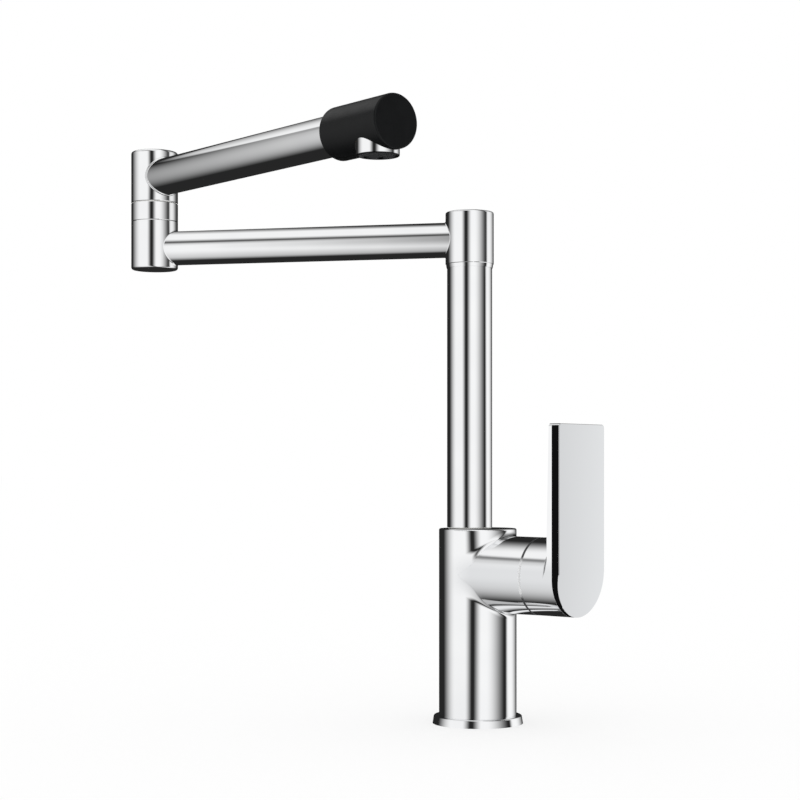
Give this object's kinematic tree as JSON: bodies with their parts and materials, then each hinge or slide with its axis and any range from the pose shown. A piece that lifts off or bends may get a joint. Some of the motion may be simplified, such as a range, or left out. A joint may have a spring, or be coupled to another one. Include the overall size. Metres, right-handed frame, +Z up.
{
  "type": "folding kitchen faucet",
  "caption": "Deck-mounted folding kitchen faucet: chrome column with side mixing lever, swivelling riser and jointed folding spout with a black turning outlet head.",
  "frame": {"origin": "centre of the base flange's underside, where the column's axis meets the deck", "axes": "+Z up along the column, +X along the side branch towards the lever, +Y level and square to both"},
  "size_m": [0.2837, 0.183, 0.3624],
  "materials": {
    "chrome_body": "mirror polished",
    "chrome_handle": "mirror polished",
    "chrome_tube": "mirror polished",
    "chrome_fitting": "mirror polished",
    "black_head": "satin",
    "black_trim": "matt",
    "dark_plastic": "matt",
    "white_plastic": "matt",
    "ceramic": "lapped",
    "brass": "turned",
    "steel": "turned",
    "rubber": "matt"
  },
  "bodies": {
    "column": {"base_flange": "chrome_body", "base_gasket": "rubber", "tap_body": "chrome_body", "inlet_block": "brass", "inlet_seal": "rubber", "riser_retaining_screw": "steel", "cartridge_housing": "white_plastic", "cartridge_base": "white_plastic", "port_seals": "rubber", "fixed_ceramic_disc": "ceramic", "cartridge_nut": "brass", "bonnet_dome": "chrome_body"},
    "rotor": {"cartridge_rotor": "white_plastic", "spindle_pin": "steel"},
    "slider": {"disc_carrier": "white_plastic", "moving_ceramic_disc": "ceramic"},
    "lever": {"handle": "chrome_handle", "handle_inlay": "black_trim", "lever_spindle": "steel", "handle_grub_screw": "steel", "grub_screw_plug": "dark_plastic"},
    "spout_base": {"riser_tube": "chrome_tube", "riser_spigot": "brass", "riser_o_rings": "rubber", "riser_slide_ring": "white_plastic", "top_collar": "chrome_fitting", "lower_arm": "chrome_tube", "lower_knuckle": "chrome_fitting", "swivel_ring": "chrome_fitting"},
    "spout_tip": {"upper_knuckle": "chrome_fitting", "knuckle_spigot": "brass", "spigot_o_rings": "rubber", "spigot_washer": "white_plastic", "knuckle_slide_washer": "white_plastic", "upper_arm": "chrome_tube", "head_spigot": "brass", "head_o_ring": "rubber"},
    "outlet_head": {"head_shell": "black_head", "head_retaining_screw": "steel", "nozzle_collar": "chrome_fitting", "aerator_insert": "dark_plastic", "aerator_washer": "rubber"}
  },
  "joints": [
    {"name": "riser_swivel", "type": "hinge", "parent": "column", "child": "spout_base", "pos_m": [-0.0064, 0, 0.1205], "axis": [0, 0, 1], "continuous": true},
    {"name": "elbow_swivel", "type": "hinge", "parent": "spout_base", "child": "spout_tip", "pos_m": [-0.19071, -0.09554, 0.3289], "axis": [0, 0, 1], "continuous": true},
    {"name": "head_turn", "type": "hinge", "parent": "spout_tip", "child": "outlet_head", "pos_m": [0.00404, -0.13128, 0.3451], "axis": [0.9836, -0.1805, 0], "continuous": true},
    {"name": "lever_turn", "type": "hinge", "parent": "column", "child": "rotor", "pos_m": [0.0358, 0, 0.0925], "axis": [1, 0, 0], "range_deg": [-45, 45]},
    {"name": "lever_tilt", "type": "hinge", "parent": "rotor", "child": "lever", "pos_m": [0.0358, 0, 0.0925], "axis": [0, 1, 0], "range_deg": [0, 20]},
    {"name": "disc_slide", "type": "slide", "parent": "rotor", "child": "slider", "axis": [0, 0, 1], "range_m": [0, 0.0039]}
  ],
  "couplings": [
    {"joint": "disc_slide", "follows": "lever_tilt", "m_per_rad": 0.010974}
  ]
}
